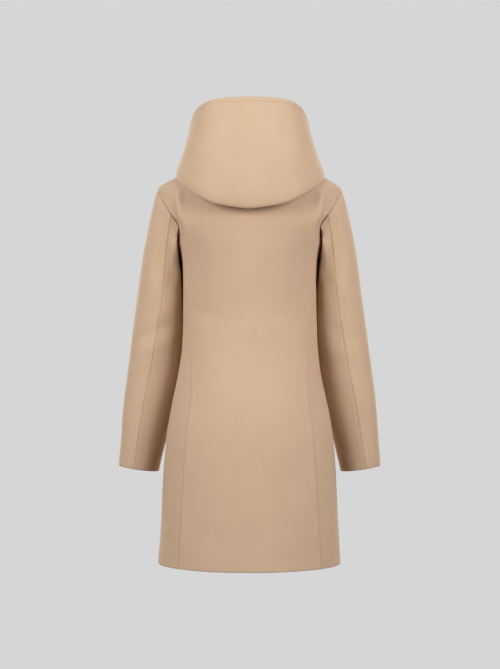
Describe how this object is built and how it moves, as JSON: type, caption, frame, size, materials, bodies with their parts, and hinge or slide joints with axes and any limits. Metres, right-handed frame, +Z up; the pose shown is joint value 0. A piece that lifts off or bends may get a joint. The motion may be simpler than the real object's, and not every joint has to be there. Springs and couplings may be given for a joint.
{
  "type": "hooded coat",
  "caption": "Knee-length fitted hooded coat with long sleeves, filled out as if worn with nobody in it, its hood lying back.",
  "frame": {"origin": "base of the neck, midway between the two high shoulder points, where the wearer's neck and shoulders carry the coat", "axes": "+Z up, +Y to the coat's back, +X to its left sleeve; the front opening faces -Y"},
  "size_m": [0.5916, 0.3004, 1.014],
  "materials": {
    "camel_cloth": "matte brushed wool-like cloth with a very short nap, camel",
    "camel_under_cloth": "the same cloth on the sides, under the sleeves and under the hood, slightly deeper",
    "badge_cloth": "plain close-woven badge cloth, dark taupe"
  },
  "bodies": {
    "root": {"back": "camel_cloth", "front_left": "camel_cloth", "front_right": "camel_cloth", "front_flap": "camel_cloth", "sleeve_left_upper": "camel_cloth", "sleeve_right_upper": "camel_cloth", "hood": "camel_cloth", "hood_rim": "camel_cloth", "side_left": "camel_under_cloth", "side_right": "camel_under_cloth", "sleeve_left_under": "camel_under_cloth", "sleeve_right_under": "camel_under_cloth", "hood_base": "camel_under_cloth", "sleeve_badge": "badge_cloth"}
  },
  "joints": []
}
